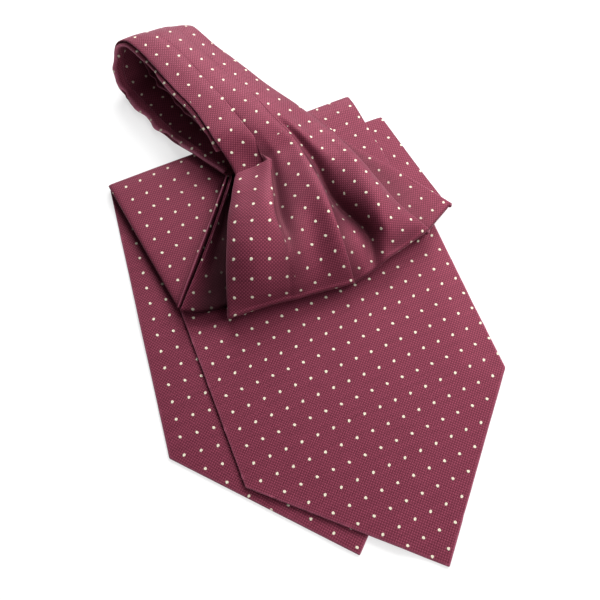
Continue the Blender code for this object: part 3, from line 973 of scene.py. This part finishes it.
def laid_sheet(name, table, rows, cells, seed, roll=(), rims=("left rim",)):
    lines = [row[1:-1] for row in table]
    # the painted shade of each line
    painted_shades = [row[-1] for row in table]
    across = (len(lines) - 1) * cells
    total = rows + 2 * len(roll)
    sections = [[curve_through(line, row / rows) for line in lines] for row in range(rows + 1)]
    edge, before = sections[-1], sections[-2]
    rolled = [edge]
    for out, drop in roll:
        ring = []
        for here, back in zip(edge, before):
            away = here - back
            away.z = 0
            spot = here + away.normalized() * out
            spot.z = here.z - drop
            ring.append(spot)
        rolled.append(ring)
    columns_rolled = list(zip(*rolled))
    for i in range(1, 2 * len(roll) + 1):
        sections.append([curve_through(column, i / (2 * len(roll))) for column in columns_rolled])
    bm = bmesh.new()
    bmesh.ops.create_grid(bm, x_segments=across, y_segments=total, size=0.5)
    rim_highlight = bm.verts.layers.float.new("painted_rim_highlight")
    depth = bm.verts.layers.float.new("painted_fold_shade")
    rim_cells = [i * cells for i, row in enumerate(table) if row[0] in rims]
    for vert in bm.verts:
        row = round((vert.co.y + 0.5) * total)
        cell = round((vert.co.x + 0.5) * across)
        # painted highlight on the rims, painted shade across the sheet
        vert[rim_highlight] = 1.0 if cell in rim_cells else 0.0
        column, part = divmod(cell, cells)
        next_depth = painted_shades[min(column + 1, len(painted_shades) - 1)]
        vert[depth] = painted_shades[column] + (next_depth - painted_shades[column]) * part / cells
        point = curve_through(sections[row], cell / across)
        point.z += ripple(point, 14, 0.5, seed)
        vert.co = at(point)
    bm.normal_update()
    if sum(f.normal.z * f.calc_area() for f in bm.faces) < 0:
        bmesh.ops.reverse_faces(bm, faces=bm.faces)
    # the sheets wear the shaded copy of the silk: painted shade
    return keep(bm, name, shaded_silk)


REAR_ROLL = ((1.2, 0.4), (1.8, 1.5), (0.6, 2.6))
rear_gather = laid_sheet("rear_gather_silk", REAR_GATHER, REAR_ROWS, 3, 41.0, REAR_ROLL)
unwrap(rear_gather)
lay_pattern(rear_gather, [(-44.0, 20.0, 112.0, 1.0)])
give_wall(rear_gather, 1.0)

REAR_UNDER_PLY = (
    # name, then four stations down the ply and the painted shade there
    ("left rim",  (-39.4, 66.4, 14.0), (-45.6, 44.2, 13.6), (-53.0, 20.0, 12.6), (-62.4, -8.0, 9.2), 0.0),
    ("inner wall", (-38.7, 66.6, 12.6), (-44.5, 44.5, 11.8), (-51.7, 20.4, 10.8), (-61.4, -7.6, 8.8), 1.0),
    ("hidden",    (-36.0, 67.0, 8.8), (-41.5, 45.5, 8.2), (-48.5, 21.4, 8.0), (-58.0, -5.0, 8.0), 1.0),
)
under_ply = laid_sheet("rear_gather_under_ply_silk", REAR_UNDER_PLY, REAR_ROWS, 3, 43.0)
unwrap(under_ply)
lay_pattern(under_ply, [(-50.0, 25.0, 105.0, 1.0)])
give_wall(under_ply, 0.8)

# %% [markdown]
# ## Which piece stands for what
# Every stretch stays with the one body, wears the dotted silk or its shaded
# copy and stands for its imported nodes.

# %% Frame calls
STANDS_FOR = {
    "rear_blade_silk": ("rear_blade",),
    "front_blade_silk": ("front_blade",),
    "front_return_silk": ("front_return",),
    "rear_return_silk": ("rear_return",),
    "fan_and_neckband_silk": (
        "front_gather", "folded_core", "neckband_upper", "neckband_turn", "neckband_lower"),
    "neckband_inner_silk": (),
    "rear_gather_silk": ("rear_gather",),
    "rear_gather_under_ply_silk": (),
}
for name, obj in PIECES.items():
    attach(obj, "root")
    if STANDS_FOR[name]:
        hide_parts(*STANDS_FOR[name])

# %% [markdown]
# ## Table, light and camera
# A pale table under broad, soft light, brightest from behind on the right, is
# how such a thing is shown for sale; it lets the silk's sheen run along the
# folds.  The table and the room round it give off some light, which keeps them
# white up to the edges of the view.

# %% Table and room
def staged(name, bm, base, glow, specular=0.5, roughness=0.5):
    """A surface that isn't part of the cravat and gives off an even white light."""
    mesh = bpy.data.meshes.new(name)
    bm.to_mesh(mesh)
    bm.free()
    obj = bpy.data.objects.new(name, mesh)
    bpy.context.scene.collection.objects.link(obj)
    finish = bpy.data.materials.new(name)
    finish.use_nodes = True
    shader = finish.node_tree.nodes["Principled BSDF"]
    shader.inputs["Base Color"].default_value = (base, base, base, 1)
    shader.inputs["Roughness"].default_value = roughness
    shader.inputs["Specular IOR Level"].default_value = specular
    shader.inputs["Emission Color"].default_value = (1, 1, 1, 1)
    shader.inputs["Emission Strength"].default_value = glow
    mesh.materials.append(finish)
    return obj


TABLE_HALF = 8
ROOM_RADIUS = 7
bm = bmesh.new()
bmesh.ops.create_grid(bm, x_segments=1, y_segments=1, size=TABLE_HALF)
staged("table", bm, base=0.32, glow=0.62, roughness=0.9)

# the room behind: seen by the camera, but giving the cloth no light
bm = bmesh.new()
bmesh.ops.create_uvsphere(bm, u_segments=32, v_segments=16, radius=ROOM_RADIUS)
room = staged("pale room", bm, base=0, glow=0.68, specular=0)
room.visible_diffuse = False
room.visible_glossy = False
room.visible_shadow = False
print("table half", TABLE_HALF, "m, room radius", ROOM_RADIUS, "m")

# %% Lights
AIM = at((0, 0, 0))
LIGHTS = (
    # name          place (m)              size   power  colour
    ("right",       (0.42, 0.30, 0.42),    0.35,  5.0,   (1.0, 0.985, 0.97)),
    ("back",        (-0.02, 0.62, 0.45),   0.40,  8.0,   (1.0, 1.0, 1.0)),
    ("high right",  (0.45, 0.00, 0.80),    0.40,  2.8,   (1.0, 1.0, 1.0)),
    ("front fill",  (0.45, -0.50, 0.42),   0.40,  2.2,   (1.0, 0.98, 0.98)),
)
for name, place, size, power, colour in LIGHTS:
    lamp = bpy.data.lights.new(name, "AREA")
    lamp.size = size
    lamp.energy = power
    lamp.color = colour
    holder = bpy.data.objects.new(name, lamp)
    holder.location = place
    holder.rotation_euler = (AIM - Vector(place)).to_track_quat("-Z", "Y").to_euler()
    bpy.context.scene.collection.objects.link(holder)

world = bpy.data.worlds.new("soft room")
bpy.context.scene.world = world
world.use_nodes = True
world.node_tree.nodes["Background"].inputs["Color"].default_value = (1, 1, 1, 1)
world.node_tree.nodes["Background"].inputs["Strength"].default_value = 0.12
bpy.context.scene.view_settings.view_transform = "Standard"

# %% Camera
VIEW_DISTANCE = 367.0
VIEW_TILT = math.radians(20.5)       # off straight down
camera_data = bpy.data.cameras.new("camera")
camera_data.lens = 42.0
camera_data.sensor_width = 36.0
camera_data.clip_start = 0.01
camera = bpy.data.objects.new("camera", camera_data)
camera.location = at((0, -math.sin(VIEW_TILT) * VIEW_DISTANCE, math.cos(VIEW_TILT) * VIEW_DISTANCE))
camera.rotation_euler = (VIEW_TILT, 0, 0)
bpy.context.scene.collection.objects.link(camera)
bpy.context.scene.camera = camera

# %% Finish
bpy.context.view_layer.update()
